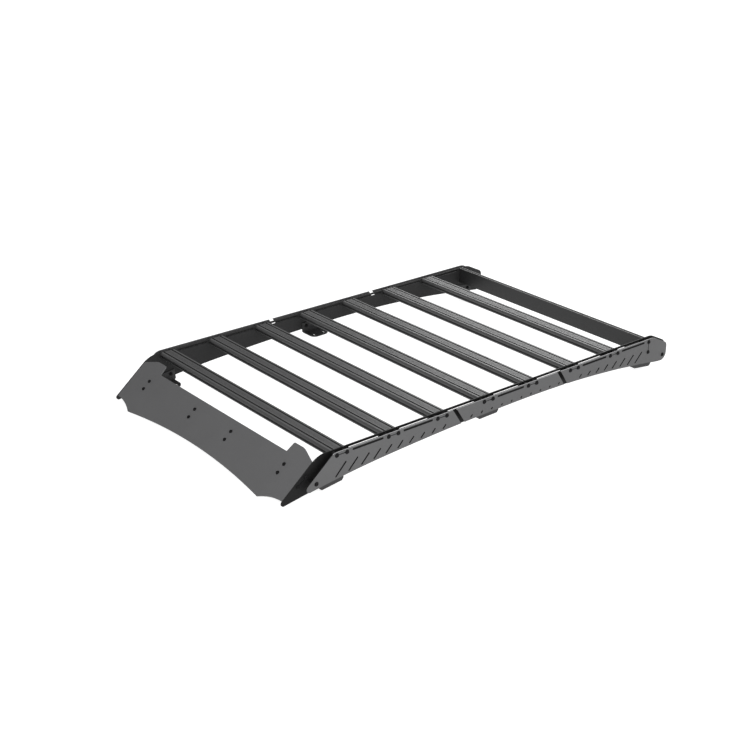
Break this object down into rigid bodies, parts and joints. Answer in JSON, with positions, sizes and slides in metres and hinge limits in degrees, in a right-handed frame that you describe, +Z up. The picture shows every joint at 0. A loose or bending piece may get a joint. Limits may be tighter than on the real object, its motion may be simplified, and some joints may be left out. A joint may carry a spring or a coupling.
{
  "type": "flat platform roof rack",
  "caption": "Flat roof rack: slotted crossbars between arched side plates, with slit outer panels, a sloping front fairing and slotted angle feet.",
  "frame": {"origin": "on the ground plane under the middle of the rack's overall box", "axes": "+Y from the fairing to the rear, +X across the rack, +Z up"},
  "size_m": [1.264, 2.153, 0.1627],
  "materials": {
    "crossbar_grey": "satin powder coat",
    "crossmember_grey": "satin powder coat",
    "fairing_grey": "fine textured powder coat",
    "inner_plate_black": "fine textured powder coat",
    "panel_grey": "fine textured powder coat",
    "sleeve_black": "satin black",
    "foot_black": "fine textured powder coat"
  },
  "bodies": {
    "root": {"crossbar_1": "crossbar_grey", "crossbar_2": "crossbar_grey", "crossbar_3": "crossbar_grey", "crossbar_4": "crossbar_grey", "crossbar_5": "crossbar_grey", "crossbar_6": "crossbar_grey", "crossbar_7": "crossbar_grey", "front_crossmember": "crossmember_grey", "rear_crossmember": "crossmember_grey", "fairing": "fairing_grey", "left_inner_plate": "inner_plate_black", "right_inner_plate": "inner_plate_black", "left_front_panel": "panel_grey", "left_middle_panel": "panel_grey", "left_rear_panel": "panel_grey", "right_front_panel": "panel_grey", "right_middle_panel": "panel_grey", "right_rear_panel": "panel_grey", "left_sleeves": "sleeve_black", "right_sleeves": "sleeve_black", "left_front_foot": "foot_black", "left_middle_foot": "foot_black", "left_rear_foot": "foot_black", "right_front_foot": "foot_black", "right_middle_foot": "foot_black", "right_rear_foot": "foot_black"}
  },
  "joints": []
}
